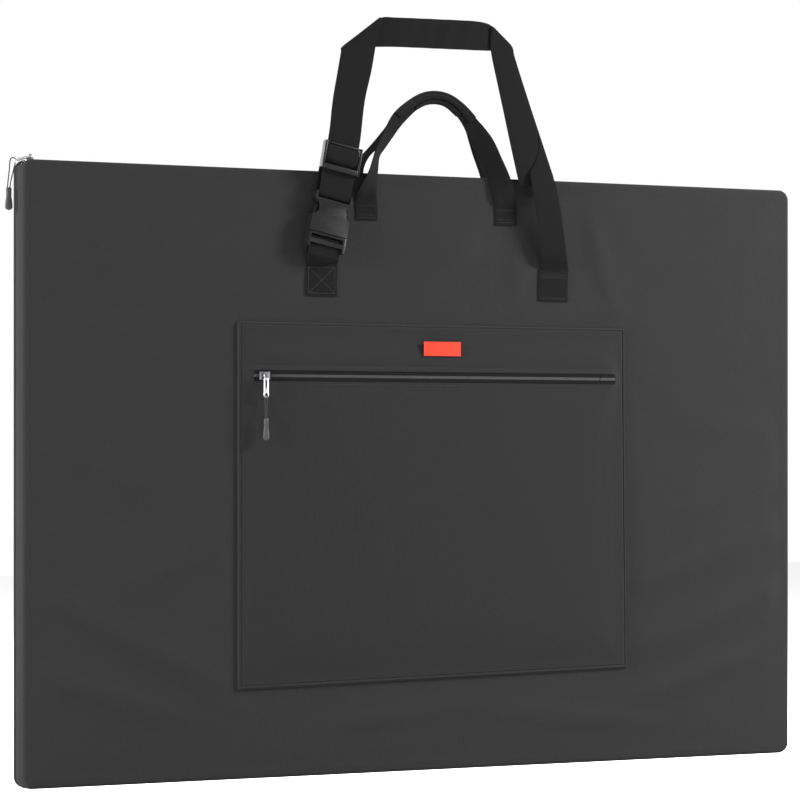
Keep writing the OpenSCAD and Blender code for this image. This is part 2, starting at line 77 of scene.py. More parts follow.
# Pocket
POCKET_X = (-232.0, 254.0)
POCKET_Z = (97.0, 479.0)
POCKET_ZIP_Z = 422.5
POCKET_ZIP_Y = -17.7
POCKET_ZIP_X = (-215.0, 237.0)
POCKET_PART_X = (-195.0, 217.0)
POCKET_SLIDER_X = -203.0
PULL_Y = -22.5
HEM_TURN = 1.9
HEM = 1.5
STITCH_IN = 3.3

# Shoulder strap
WEB_T = 1.5
STRAP_Y = -21.5
STRAP_FOLD_Z = 543.0
STRAP_LEAN = math.radians(2.4)
LEG_TILT = math.radians(11.8)
LEG_START = (-133.4, 556.0)
LAYER_FRONT = -5.4
LAYER_BACK = 3.6
STRAP_W = 38.0
ADJUSTER_S = 98.7

# Handles
HANDLE_FOLD_Z = 613.0
HANDLE_W = 27.0

# Camera
EYE = Vector((-2.0903, -3.5496, 0.3444))
EYE_TURN = math.radians(-30.158)


# ---------- places ----------

def seen(x, z, y):
    """The point at depth y that the camera sees at (x, z) on the plane of the case's front."""
    ray = Vector((x, FACE_Y, z)) * MM - EYE
    return EYE + ray * ((y * MM - EYE.y) / ray.y)


def on_strap(x, y, up):
    """A point in the strap's leaning plane, y behind it and up from its turning line."""
    turn = Matrix.Rotation(-STRAP_LEAN, 3, "X")
    return (turn @ Vector((x, y, up)) + Vector((0, STRAP_Y, STRAP_FOLD_Z))) * MM


def on_leg(x, y, s):
    """A point on the buckle's leg of the strap, s along it from the plug's lower end."""
    p = Matrix.Rotation(LEG_TILT, 3, "Y") @ Vector((x, y, s))
    return on_strap(p.x + LEG_START[0], p.y, p.z + LEG_START[1] - STRAP_FOLD_Z)


def strap_depth(z):
    """Depth of the strap's front layer at a height."""
    return STRAP_Y + LAYER_FRONT + (z - STRAP_FOLD_Z) * math.tan(STRAP_LEAN)


def ease(a, b, v):
    """0 before a, 1 after b, and a smooth rise between them."""
    t = min(1.0, max(0.0, (v - a) / (b - a)))
    return t * t * (3 - 2 * t)


def curve_through(points, steps):
    """Points, as tuples of any size, with steps Catmull-Rom points between each two."""
    p = np.array([points[0], *points, points[-1]], float)
    made = []
    for i in range(1, len(p) - 2):
        for k in range(steps):
            t = k / steps
            made.append(0.5 * (
                2 * p[i]
                + (p[i + 1] - p[i - 1]) * t
                + (2 * p[i - 1] - 5 * p[i] + 4 * p[i + 1] - p[i + 2]) * t ** 2
                + (3 * p[i] - p[i - 1] - 3 * p[i + 1] + p[i + 2]) * t ** 3
            ))
    made.append(p[-2])
    return [tuple(q) for q in made]


# ---------- materials ----------

class Nodes:
    """A material's node tree, with short calls for what the materials share."""

    def __init__(self, name, color, roughness, **sockets):
        self.material = bpy.data.materials.new(name)
        self.material.use_nodes = True
        self.tree = self.material.node_tree
        self.shader = self.tree.nodes["Principled BSDF"]
        self.color = color
        self.set("Base Color", (*color, 1))
        self.set("Roughness", roughness)
        for socket, value in sockets.items():
            self.set(socket.replace("_", " "), value)
        self.material.diffuse_color = (*color, 1)

    def set(self, socket, value):
        self.shader.inputs[socket].default_value = value

    def add(self, kind, **values):
        node = self.tree.nodes.new("ShaderNode" + kind)
        for key, value in values.items():
            if key in node.inputs:
                node.inputs[key].default_value = value
            else:
                setattr(node, key, value)
        return node

    def link(self, a, b):
        self.tree.links.new(a, b)

    def coordinates(self, scale, uv=False):
        source = self.add("TexCoord").outputs["UV" if uv else "Object"]
        mapping = self.add("Mapping")
        mapping.inputs["Scale"].default_value = scale
        self.link(source, mapping.inputs["Vector"])
        return mapping.outputs["Vector"]

    def noise(self, scale, detail=3, uv=False, roughness=0.55):
        node = self.add("TexNoise", Scale=1.0, Detail=detail, Roughness=roughness)
        self.link(self.coordinates(scale, uv), node.inputs["Vector"])
        return node.outputs["Fac"]

    def wave(self, pitch, axis, uv=False):
        """A sine ripple along an axis, pitch in metres."""
        turns = 2 * math.pi / (20 * pitch)
        node = self.add("TexWave", Scale=1.0, bands_direction=axis, wave_profile="SIN")
        self.link(self.coordinates((turns,) * 3, uv), node.inputs["Vector"])
        return node.outputs["Fac"]

    def math(self, operation, *values):
        node = self.add("Math", operation=operation)
        for socket, value in zip(node.inputs, values):
            if isinstance(value, (int, float)):
                socket.default_value = value
            else:
                self.link(value, socket)
        return node.outputs[0]

    def range(self, fac, low, high, socket):
        """Drives a socket from low to high by a factor."""
        node = self.add("MapRange")
        node.inputs["To Min"].default_value = low
        node.inputs["To Max"].default_value = high
        self.link(fac, node.inputs["Value"])
        self.link(node.outputs["Result"], self.shader.inputs[socket])

    def tint(self, fac, low, high):
        """Colours the surface from low to high times its own colour by a factor."""
        ramp = self.add("ValToRGB")
        for stop, share in zip(ramp.color_ramp.elements, (low, high)):
            stop.color = (*[c * share for c in self.color], 1)
        ramp.color_ramp.elements[0].position = 0.3
        ramp.color_ramp.elements[1].position = 0.7
        self.link(fac, ramp.inputs["Fac"])
        self.link(ramp.outputs["Color"], self.shader.inputs["Base Color"])

    def bump(self, height, distance, strength=1.0):
        """Adds a bump of a real height, in metres, over those already there."""
        node = self.add("Bump", Distance=distance, Strength=strength)
        socket = self.shader.inputs["Normal"]
        if socket.is_linked:
            self.link(socket.links[0].from_socket, node.inputs["Normal"])
        self.link(height, node.inputs["Height"])
        self.link(node.outputs["Normal"], socket)


def woven(name, color, pitch, roughness=0.82, slub=0.12, sheen=0.015):
    """Plain-weave cloth with slubs that run up it, in the frame's own directions."""
    m = Nodes(name, color, roughness, Sheen_Weight=sheen, Sheen_Roughness=0.5,
              Specular_IOR_Level=0.01)
    slubs = m.noise((520, 520, 260), detail=4)
    grain = m.noise((900, 900, 900), detail=2)
    mixed = m.math("MULTIPLY_ADD", slubs, 0.7, 0.15)
    m.tint(m.math("MULTIPLY", mixed, m.math("ADD", grain, 0.5)), 1 - slub, 1 + slub)
    weave = m.math("ADD", m.wave(pitch, "X"), m.wave(pitch, "Z"))
    weave = m.math("ADD", weave, m.wave(pitch, "Y"))
    m.bump(weave, pitch * 0.1, 0.35)
    m.bump(slubs, 0.0003, 0.5)
    m.range(slubs, roughness - 0.06, roughness + 0.08, "Roughness")
    return m.material


def webbing(name, color, pitch=0.0012, roughness=0.75):
    """Ribbed webbing, woven along its own length through its UV map in metres."""
    m = Nodes(name, color, roughness, Sheen_Weight=0.01, Sheen_Roughness=0.45,
              Specular_IOR_Level=0.01)
    ribs = m.wave(pitch, "X", uv=True)
    picks = m.wave(pitch * 0.8, "Y", uv=True)
    fuzz = m.noise((1300, 500, 1), detail=3, uv=True)
    m.tint(m.math("ADD", m.math("MULTIPLY", ribs, 0.35), m.math("MULTIPLY", fuzz, 0.75)), 0.8, 1.25)
    m.bump(m.math("MULTIPLY", ribs, picks), 0.0003, 0.8)
    m.bump(fuzz, 0.0002, 0.5)
    m.range(fuzz, roughness - 0.1, roughness + 0.1, "Roughness")
    return m.material


def moulded(name, color, roughness, wear=0.10, specular=0.10):
    """Moulded plastic or rubber with a fine texture and slight scuffs."""
    m = Nodes(name, color, roughness, Specular_IOR_Level=specular)
    skin = m.noise((2600,) * 3, detail=2)
    scuffs = m.noise((160, 160, 420), detail=5, roughness=0.7)
    m.tint(scuffs, 1 - wear, 1 + wear * 2)
    m.bump(skin, 0.00005, 0.5)
    m.range(scuffs, roughness - 0.08, roughness + 0.14, "Roughness")
    return m.material


def metal(name, color, roughness):
    """Cast and tumbled zip metal, with fine scratches and darker hollows."""
    m = Nodes(name, color, roughness, Metallic=1.0)
    scratches = m.noise((400, 400, 3200), detail=4)
    m.tint(scratches, 0.75, 1.15)
    m.bump(scratches, 0.00004, 0.4)
    m.range(scratches, roughness - 0.08, roughness + 0.16, "Roughness")
    return m.material


def thread(name, color):
    """Twisted sewing thread."""
    m = Nodes(name, color, 0.7, Sheen_Weight=0.02, Specular_IOR_Level=0.05)
    twist = m.noise((3000, 3000, 3000), detail=2)
    m.tint(twist, 0.8, 1.3)
    m.bump(twist, 0.0001, 0.5)
    return m.material


CASE = woven("case_fabric", (0.0098, 0.0098, 0.0101), 0.0011)
POCKET = woven("pocket_fabric", (0.0088, 0.0088, 0.0091), 0.0011)
LINING = woven("lining_fabric", (0.02, 0.02, 0.021), 0.0008)
PADDING = woven("padding_foam", (0.68, 0.68, 0.65), 0.002, slub=0.04)
BOARD = moulded("stiff_board", (0.8, 0.8, 0.82), 0.55, wear=0.03)
TAPE = woven("zip_tape", (0.0035, 0.0035, 0.0037), 0.0007, slub=0.06)
COIL = moulded("zip_coil", (0.02, 0.02, 0.0205), 0.4, specular=0.25)
METAL = metal("zip_metal", (0.42, 0.42, 0.43), 0.28)
DARK_METAL = metal("slider_metal", (0.10, 0.10, 0.105), 0.35)
PULL_CORD = webbing("pull_cord", (0.018, 0.018, 0.0185), 0.0005)
RUBBER = moulded("pull_rubber", (0.02, 0.02, 0.0205), 0.42)
LABEL = woven("label_cloth", (0.235, 0.0225, 0.013), 0.0005, slub=0.05)
WEB = webbing("webbing", (0.0036, 0.0036, 0.0037))
PLASTIC = moulded("buckle_plastic", (0.003, 0.003, 0.0031), 0.32)
THREAD = thread("thread", (0.016, 0.016, 0.0165))
WEB_THREAD = thread("web_thread", (0.017, 0.017, 0.0174))


# ---------- meshes ----------

def add_object(name, data):
    """A new object in the scene."""
    obj = bpy.data.objects.new(name, data)
    bpy.context.scene.collection.objects.link(obj)
    return obj


def declare(obj, body, replaces):
    """Puts a piece on the body it rides on, if it has one, and hides the CAD nodes it stands for."""
    if body:
        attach(obj, body)
    if replaces:
        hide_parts(*replaces)


def make_piece(name, verts, faces, material, body, replaces=(), uv=None, skin=0.0):
    """A smooth mesh piece, verts in metres, that rides on a body and stands for CAD nodes."""
    mesh = bpy.data.meshes.new(name)
    mesh.from_pydata([tuple(v) for v in verts], [], faces)
    mesh.validate()
    mesh.shade_smooth()
    mesh.set_sharp_from_angle(angle=math.radians(SHARP))
    if uv is not None:
        layer = mesh.uv_layers.new(name="UVMap")
        for loop in mesh.loops:
            layer.data[loop.index].uv = uv[loop.vertex_index]
    mesh.materials.append(material)
    obj = add_object(name, mesh)
    if skin:
        solid = obj.modifiers.new("skin", "SOLIDIFY")
        solid.thickness = skin * MM
        solid.offset = -1
    declare(obj, body, replaces)
    return obj


def grid_faces(rows, columns, closed=False):
    """Quads over rows of points, each row joined to the next; closed also joins a row's ends."""
    faces = []
    last = columns if closed else columns - 1
    for i in range(rows - 1):
        for j in range(last):
            a, b = i * columns + j, i * columns + (j + 1) % columns
            faces.append((a, b, b + columns, a + columns))
    return faces


def tube_faces(base, rings, sides, inward=False):
    """Quads round a tube whose rings start at vertex base, and its two caps."""
    faces = [tuple(base + k for k in face) for face in grid_faces(rings, sides, closed=True)]
    caps = [tuple(range(base + sides - 1, base - 1, -1)),
            tuple(range(base + (rings - 1) * sides, base + rings * sides))]
    return faces + [cap[::-1] if inward else cap for cap in caps]


def ribbon(name, rows, body=None, replaces=(), material=WEB, thickness=WEB_T, across=10,
           ripple=None):
    """Webbing between two edges. rows holds its (left, right) edge points, in metres."""
    left = np.array([r[0] for r in rows], float)
    right = np.array([r[1] for r in rows], float)
    middle = (left + right) / 2
    along = np.gradient(middle, axis=0)
    along /= np.linalg.norm(along, axis=1)[:, None] + 1e-12
    side = right - left
    length = np.linalg.norm(side, axis=1)
    whole = side / (length[:, None] + 1e-12)
    normal = np.cross(whole, along)
    normal /= np.linalg.norm(normal, axis=1)[:, None] + 1e-12
    run = np.concatenate([[0], np.cumsum(np.linalg.norm(np.diff(middle, axis=0), axis=1))])
    verts, uv = [], []
    places = [2 * k / across - 1 for k in range(across + 1)]
    for i in range(len(rows)):
        for face, order in ((1, places), (-1, places[::-1])):
            for c in order:
                half = thickness / 2 * MM * (1 - 0.45 * abs(c) ** 8)
                point = middle[i] + side[i] * c / 2 + normal[i] * half * face
                if ripple:
                    point = point + normal[i] * ripple(run[i] / MM, c) * MM
                verts.append(point)
                uv.append((c * length[i] / 2, run[i]))
    columns = 2 * (across + 1)
    faces = grid_faces(len(rows), columns, closed=True)
    end = (len(rows) - 1) * columns
    for k in range(across):
        faces.append((k, columns - 1 - k, columns - 2 - k, k + 1))
        faces.append((end + k, end + k + 1, end + columns - 2 - k, end + columns - 1 - k))
    return make_piece(name, verts, faces, material, body, replaces, uv=uv)


def between(rows, steps):
    """Smooths a ribbon's rows, given as ((left point), (right point)) in metres."""
    flat = [(*a, *b) for a, b in rows]
    return [(Vector(p[:3]), Vector(p[3:])) for p in curve_through(flat, steps)]


def stitches(name, lines, material, body, pitch, length, radius):
    """Rows of raised stitches. Each line is a list of (point, outward normal), in metres."""
    verts, faces = [], []
    sides = 6
    for line in lines:
        points = np.array([p for p, _ in line], float)
        normals = np.array([n for _, n in line], float)
        steps = np.linalg.norm(np.diff(points, axis=0), axis=1)
        run = np.concatenate([[0], np.cumsum(steps)])
        count = max(1, int(run[-1] / (pitch * MM)))
        for k in range(count):
            at = (k + 0.5) * run[-1] / count
            ends = []
            for d in (-0.5, 0.5):
                t = at + d * length * MM
                ends.append(np.array([np.interp(t, run, points[:, a]) for a in range(3)]))
            n = np.array([np.interp(at, run, normals[:, a]) for a in range(3)])
            n /= np.linalg.norm(n)
            along = ends[1] - ends[0]
            along /= np.linalg.norm(along) + 1e-12
            across = np.cross(along, n)
            base = len(verts)
            for share, size in ((0.0, 0.45), (0.2, 1.0), (0.8, 1.0), (1.0, 0.45)):
                centre = ends[0] + (ends[1] - ends[0]) * share
                sink = -radius * MM * 0.9 if size < 1 else 0.0
                for q in range(sides):
                    a = 2 * math.pi * q / sides
                    offset = across * math.cos(a) + n * math.sin(a)
                    verts.append(centre + offset * radius * MM * size + n * sink)
            faces += tube_faces(base, 4, sides)
    make_piece(name, verts, faces, material, body)


def teeth(name, x0, x1, y, z, flat, side, body, replaces, reach=2.7):
    """Half of a coil zip's teeth along X. flat: the zip lies level; otherwise it stands up."""
    pitch, wide, tall = 1.7, 0.95, 0.85
    verts, faces = [], []
    count = int((x1 - x0) / pitch)
    profile = ((reach, 0.7, 0.8), (0.7 * reach, 1.0, 1.0), (0.3, 1.0, 1.0), (-0.3, 0.7, 0.7))
    ring = ((-1, -0.4), (-0.6, -1), (0.6, -1), (1, -0.4), (1, 0.4), (0.6, 1), (-0.6, 1), (-1, 0.4))
    for k in range(count):
        x = x0 + (k + (0.5 if side > 0 else 0.0) + 0.25) * pitch
        base = len(verts)
        for out, w, h in profile:
            for a, b in ring:
                dx, up = a * w * wide / 2, b * h * tall
                across = side * out
                point = (x + dx, y + across, z + up) if flat else (x + dx, y - up, z + across)
                verts.append(Vector(point) * MM)
        faces += tube_faces(base, len(profile), len(ring))
    make_piece(name, verts, faces, COIL, body, replaces)


def tape(name, x0, x1, profile, body, replaces):
    """A zip tape: a closed profile of (y, z) points drawn along X."""
    count = max(2, int((x1 - x0) / TAPE_STEP) + 1)
    verts = []
    for i in range(count):
        x = x0 + (x1 - x0) * i / (count - 1)
        verts += [Vector((x, y, z)) * MM for y, z in profile]
    make_piece(name, verts, tube_faces(0, count, len(profile)), TAPE, body, replaces)


def round_edges(obj, radius, segments, angle, harden):
    """Rounds the edges that turn by more than an angle, in degrees."""
    bevel = obj.modifiers.new("rounding", "BEVEL")
    bevel.width = radius * MM
    bevel.segments = segments
    bevel.limit_method = "ANGLE"
    bevel.angle_limit = math.radians(angle)
    bevel.harden_normals = harden


def rounded(node, radius, material, body, segments=3):
    """A copy of a CAD node with its hard edges rounded, which stands for the node."""
    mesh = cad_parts[node].data.copy()
    mesh.name = node + "_rounded"
    made = bmesh.new()
    made.from_mesh(mesh)
    bmesh.ops.remove_doubles(made, verts=made.verts, dist=1e-6)
    bmesh.ops.dissolve_limit(made, angle_limit=math.radians(1.0), verts=made.verts, edges=made.edges)
    made.to_mesh(mesh)
    made.free()
    mesh.materials.clear()
    mesh.materials.append(material)
    mesh.shade_smooth()
    obj = add_object(node + "_rounded", mesh)
    round_edges(obj, radius, segments, 35, True)
    declare(obj, body, [node])


# ---------- camera and cords ----------

def make_camera():
    """A level camera, turned to see the case from its left."""
    data = bpy.data.cameras.new("camera")
    data.lens = 171.8
    data.sensor_width = 36
    data.shift_y = 0.0626
    data.clip_end = 50
    camera = add_object("camera", data)
    camera.location = EYE
    camera.rotation_euler = (math.pi / 2, 0, EYE_TURN)
    bpy.context.scene.camera = camera


CORD_D = 1.2
# Routes from the grip up, through the tab's eye and down again. The main cord's points are
# (x, z), and the pocket cord's are (y, z) from the top of its grip
MAIN_CORD = [
    (-488.4, 611), (-488.2, 615), (-487.6, 620), (-487, 625), (-486.4, 630), (-486, 635),
    (-485.6, 638.4), (-484.5, 640.7), (-482.3, 641.5), (-480.4, 640.4), (-479.8, 638.2),
    (-480.4, 634.5), (-481.6, 630), (-482.8, 625), (-484.2, 620), (-485.3, 615), (-485.8, 611),
]
POCKET_CORD = [
    (-0.8, 0), (-1.2, 4), (-1.7, 9), (-2.2, 14), (-2.5, 19), (-2.45, 22.4), (-1.5, 24.4),
    (0, 25.1), (1.5, 24.4), (2.45, 22.4), (2.5, 19), (2.2, 14), (1.7, 9), (1.2, 4), (0.8, 0),
]
POCKET_GRIP_Z = 377.5


def make_cord(name, points, body, node):
    """A round cord through points in metres, which stands for a CAD node."""
    curve = bpy.data.curves.new(name, "CURVE")
    curve.dimensions = "3D"
    curve.bevel_depth = CORD_D / 2 * MM
    curve.bevel_resolution = 3
    curve.use_fill_caps = True
    spline = curve.splines.new("POLY")
    path = curve_through([tuple(p) for p in points], 4)
    spline.points.add(len(path) - 1)
    for point, place in zip(spline.points, path):
        point.co = (*place, 1)
    curve.materials.append(PULL_CORD)
    obj = add_object(name, curve)
    declare(obj, body, [node])


def make_pull_grip(name, x, y, top, widths, thickness, body, node):
    """The moulded end of a pull: a neck, a waist and a rounded foot, thick in the middle."""
    length = 23.0
    rows, sides = 26, 20
    verts = []
    for i in range(rows):
        t = i / (rows - 1)
        width = widths[0] + (widths[1] - widths[0]) * ease(0.15, 0.9, t)
        width *= 1 - 0.10 * math.exp(-((t - 0.42) / 0.13) ** 2)
        deep = thickness * (1 - 0.12 * math.exp(-((t - 0.42) / 0.13) ** 2))
        cap = min(1.0, (t / 0.05 + 0.35), ((1 - t) / 0.14 + 0.02) if t > 0.86 else 1.0)
        shrink = math.sqrt(max(0.02, 1 - (1 - min(1.0, cap)) ** 2))
        for q in range(sides):
            a = 2 * math.pi * q / sides
            c, s = math.cos(a), math.sin(a)
            px = math.copysign(abs(c) ** 0.7, c) * width / 2 * shrink
            py = math.copysign(abs(s) ** 0.8, s) * deep / 2 * shrink
            verts.append(Vector((x + px, y + py, top - t * length)) * MM)
    return make_piece(name, verts, tube_faces(0, rows, sides, True), RUBBER, body, [node])


def make_pull_cords():
    """The two zip pulls' cords, each with the grip it ends in."""
    grip = make_pull_grip("main_grip", -487.1, 0, 611, (5.8, 8.2), 3.4, "main_pull",
                          "main_pull_grip")
    path = [Vector((x, 0, z)) * MM for x, z in MAIN_CORD]
    make_cord("main_cord", path, "main_pull", "main_pull_cord")
    grip = make_pull_grip("pocket_grip", POCKET_SLIDER_X, PULL_Y, POCKET_GRIP_Z, (5, 7), 3.6,
                          "pocket_pull", "pocket_pull_grip")
    path = [Vector((POCKET_SLIDER_X, PULL_Y + y, POCKET_GRIP_Z + z)) * MM for y, z in POCKET_CORD]
    make_cord("pocket_cord", path, "pocket_pull", "pocket_pull_cord")


# ---------- case ----------

CREASES = (
    # start, end, half width and height of each soft crease of the front
    ((262, 190), (478, 262), 15, 1.5),
    ((268, 118), (478, 196), 17, 1.8),
    ((262, 66), (440, 118), 13, 1.3),
    ((300, 260), (470, 330), 20, 0.9),
    ((330, 380), (470, 350), 24, 0.8),
    ((300, 40), (90, 60), 11, 1.1),
    ((60, 70), (-120, 52), 10, 0.8),
    ((-478, 210), (-250, 96), 15, 1.5),
    ((-470, 120), (-290, 62), 13, 1.0),
    ((-300, 300), (-460, 350), 22, 0.8),
    ((-250, 250), (-380, 190), 16, 0.6),
    ((60, 575), (-20, 505), 15, 0.9),
    ((205, 600), (240, 498), 14, 0.9),
    ((122, 590), (106, 500), 12, 0.7),
    ((310, 540), (450, 596), 20, 0.8),
    ((-190, 560), (-330, 520), 24, 0.7),
)


def crease_height(x, z, creases):
    """How far soft creases lift the cloth at a place, in millimetres."""
    total = 0.0
    for (ax, az), (bx, bz), width, height in creases:
        dx, dz = bx - ax, bz - az
        run = math.hypot(dx, dz)
        t = ((x - ax) * dx + (z - az) * dz) / run ** 2
        off = ((x - ax) * dz - (z - az) * dx) / run
        total += height * math.exp(-(off / width) ** 2) * ease(-0.25, 0.3, t) * (1 - ease(0.7, 1.25, t))
    return total


def stations(half, corner, step):
    """Places along one axis, five cells over each corner and even steps between."""
    inner = half - corner
    count = int(2 * inner / step)
    middle = [-inner + 2 * inner * i / count for i in range(count + 1)]
    edge = [corner * i / 5 for i in range(1, 6)]
    return [-inner - e for e in reversed(edge)] + middle + [inner + e for e in edge]


def rounded_place(x, z, half_w, half_h, corner):
    """Moves a point of a rectangle's grid so that the corners become round."""
    ax = max(0.0, (abs(x) - (half_w - corner)) / corner)
    az = max(0.0, (abs(z) - (half_h - corner)) / corner)
    if ax and az:
        rx, rz = ax * math.sqrt(1 - az * az / 2), az * math.sqrt(1 - ax * ax / 2)
        x = math.copysign(half_w - corner + corner * rx, x)
        z = math.copysign(half_h - corner + corner * rz, z)
        n = Vector((math.copysign(rx, x), math.copysign(rz, z))).normalized()
    elif abs(x) - half_w > abs(z) - half_h:
        n = Vector((math.copysign(1, x), 0))
    else:
        n = Vector((0, math.copysign(1, z)))
    return x, z, n


def border(columns, rows):
    """The grid's border vertices in order, as (row, column)."""
    order = [(0, j) for j in range(columns)]
    order += [(i, columns - 1) for i in range(1, rows)]
    order += [(rows - 1, j) for j in range(columns - 2, -1, -1)]
    order += [(i, 0) for i in range(rows - 2, 0, -1)]
    return order


def rim_profile():
    """(outward from the face's flat part, back from the face) round the rim to the seam."""
    power = 2 / 2.3
    made = []
    for i in range(1, 9):
        a = math.pi / 2 * i / 8
        made.append((RIM_R * math.sin(a) ** power, RIM_R * (1 - math.cos(a) ** power)))
    made += [(RIM_R - 0.05, 4.9), (RIM_R - 0.35, 5.5), (RIM_R - EDGE_IN, -FACE_Y - SEAM_Y)]
    return made


def in_pocket(x, z):
    """How far a place is inside the pocket's outline; below 0 it is outside."""
    return min(x - POCKET_X[0], POCKET_X[1] - x, z - POCKET_Z[0], POCKET_Z[1] - z)


def make_cover(side, creases, seed):
    """One padded cover's fabric: the face with its soft creases, and the rounded rim."""
    half_w, half_h, corner = HALF_W - RIM_R, CASE_H / 2 - RIM_R, CORNER_R - RIM_R
    xs, zs = (stations(half, corner, COVER_CELL) for half in (half_w, half_h))
    if side > 0:
        xs = xs[::-1]
    verts, normals = [], {}
    for i, z0 in enumerate(zs):
        for j, x0 in enumerate(xs):
            x, z, n = rounded_place(x0, z0, half_w, half_h, corner)
            normals[i, j] = n
            up = z + CASE_H / 2
            edge = min(half_w - abs(x), half_h - abs(z))
            soft = ease(0, 26, edge)
            seat = 1.0
            if side < 0:
                seat = 1 - ease(-22, -4, in_pocket(x, up))
            wave = noise.fractal(Vector((x / 150, up / 150, seed)), 1.0, 2.0, 3)
            puff = (0.5 + 1.1 * wave + 2.1 * crease_height(x, up, creases)) * soft * seat
            puff += 0.12 * noise.noise(Vector((x / 22, up / 30, seed + 5))) * soft * seat
            puff += 0.35 * math.exp(-((edge - 3) / 5) ** 2)
            verts.append(Vector((x, side * (-FACE_Y + puff), up)) * MM)
    rows, columns = len(zs), len(xs)
    faces = grid_faces(rows, columns)
    ring = border(columns, rows)
    last = [i * columns + j for i, j in ring]
    first = [verts[k].copy() for k in last]
    for out, back in rim_profile():
        base = len(verts)
        for (i, j), start in zip(ring, first):
            n = normals[i, j]
            lift = (start.y / MM - side * -FACE_Y) * max(0.0, 1 - back / RIM_R)
            point = start + Vector((n.x * out, 0, n.y * out)) * MM
            point.y = (side * (-FACE_Y - back) + lift) * MM
            verts.append(point)
        now = list(range(base, base + len(ring)))
        for k in range(len(ring)):
            a, b = k, (k + 1) % len(ring)
            faces.append((last[b], last[a], now[a], now[b]))
        last = now
    name = "front" if side < 0 else "back"
    obj = make_piece(name + "_cover_fabric", verts, faces, CASE, "case", [name + "_cover"],
                     skin=SKIN_T)


def make_gusset():
    """The narrow band between the covers, sunk a little at its two seams."""
    half_w, half_h = HALF_W, CASE_H / 2
    xs, zs = (stations(half, CORNER_R, GUSSET_CELL) for half in (half_w, half_h))
    ring = border(len(xs), len(zs))
    mouth = CASE_H - 4.0
    path = []
    for i, j in ring:
        x, z, n = rounded_place(xs[j], zs[i], half_w, half_h, CORNER_R)
        path.append((x, z + half_h, n))
    top = [k for k, p in enumerate(path) if p[1] > mouth]
    path = path[top[-1] + 1:] + path[:top[0]]
    profile = []
    for k in range(15):
        t = 2 * k / 14 - 1
        profile.append((0.25 + (EDGE_IN - 0.25) * abs(t) ** 7, t * SEAM_Y))
    profile += [(1.9, SEAM_Y), (1.4, 0), (1.9, -SEAM_Y)]
    verts = []
    for x, z, n in path:
        for sunk, y in profile:
            wave = 0.15 * noise.noise(Vector((x / 30, z / 30, y / 9)))
            place = Vector((x - n.x * (sunk + wave), y, z - n.y * (sunk + wave)))
            verts.append(place * MM)
    faces = tube_faces(0, len(path), len(profile), True)
    make_piece("side_gusset_band", verts, faces, CASE, "case", ["side_gusset"])


def material_on(node, material):
    """Gives a CAD node that stays in view a material."""
    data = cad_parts[node].data
    if data.materials:
        for k in range(len(data.materials)):
            data.materials[k] = material
    else:
        data.materials.append(material)


def finish_layers():
    """The padding, board and lining inside each cover."""
    for side in ("front", "back"):
        material_on(side + "_padding", PADDING)
        material_on(side + "_board", BOARD)
        material_on(side + "_lining", LINING)


# ---------- zips ----------

def tape_profile(side):
    """A top tape's closed outline from the coil to its sewn edge, with its edge turned up."""
    inner, outer = 2.5, 6.0
    return [
        (side * inner, ZIP_Z + 0.4), (side * (outer - 1.2), ZIP_Z + 0.45),
        (side * (outer - 0.1), ZIP_Z + 1.0), (side * (outer + 0.25), ZIP_Z + 0.5),
        (side * (outer - 1.0), ZIP_Z - 0.35), (side * inner, ZIP_Z - 0.4),
    ][::side]


def tab_rims(name, start, along, across, thickness, ring_at, body):
    """The raised edges and eye of a cast tab, in millimetres from its pin."""
    start, along, across = (Vector(v) for v in (start, along, across))
    rows, half = [], 2.35
    for k in range(13):
        rows.append((along * (3.5 + (ring_at - 4.5) * k / 12) + across * half, across))
    for k in range(1, 18):
        a = math.pi * k / 18
        turn = across * math.cos(a) + along * math.sin(a)
        rows.append((along * ring_at + turn * half, turn))
    for k in range(12, -1, -1):
        rows.append((along * (3.5 + (ring_at - 4.5) * k / 12) - across * half, -across))
    edges = []
    for middle, away in rows:
        middle = start + middle
        edges.append(((middle - away * 0.6) * MM, (middle + away * 0.6) * MM))
    ribbon(name, edges, body, material=METAL, thickness=thickness, across=4)


def make_top_zip():
    """The main zip: two halves that fold back, the sewn ends, the slider and its tab."""
    for side, word in ((-1, "front"), (1, "back")):
        body = word + "_zip_half"
        tape(word + "_tape", -ZIP_FLAP_X, ZIP_FLAP_X, tape_profile(side), body,
             [word + "_zip_tape"])
        teeth(word + "_teeth", -ZIP_FLAP_X, ZIP_FLAP_X, 0, ZIP_Z, True, side, body,
              [word + "_zip_coil"])
    for end, word in ((-1, "left"), (1, "right")):
        a, b = sorted((end * (ZIP_FLAP_X + 0.5), end * ZIP_END_X))
        node = "zip_end_" + word
        for side, half in ((-1, "front"), (1, "back")):
            tape(f"{node}_{half}_tape", a, b, tape_profile(side), "case", [node])
            teeth(f"{node}_{half}_teeth", a, b, 0, ZIP_Z, True, side, "case", [node])
    rounded("main_slider", 0.45, DARK_METAL, "main_slider")
    rounded("main_pull_tab", 0.3, METAL, "main_tab")
    down = (-math.cos(TAB_DROP), 0, -math.sin(TAB_DROP))
    tab_rims("main_tab_rims", TAB_PIN, down, (0, 1, 0), 2.5, 16.8, "main_tab")


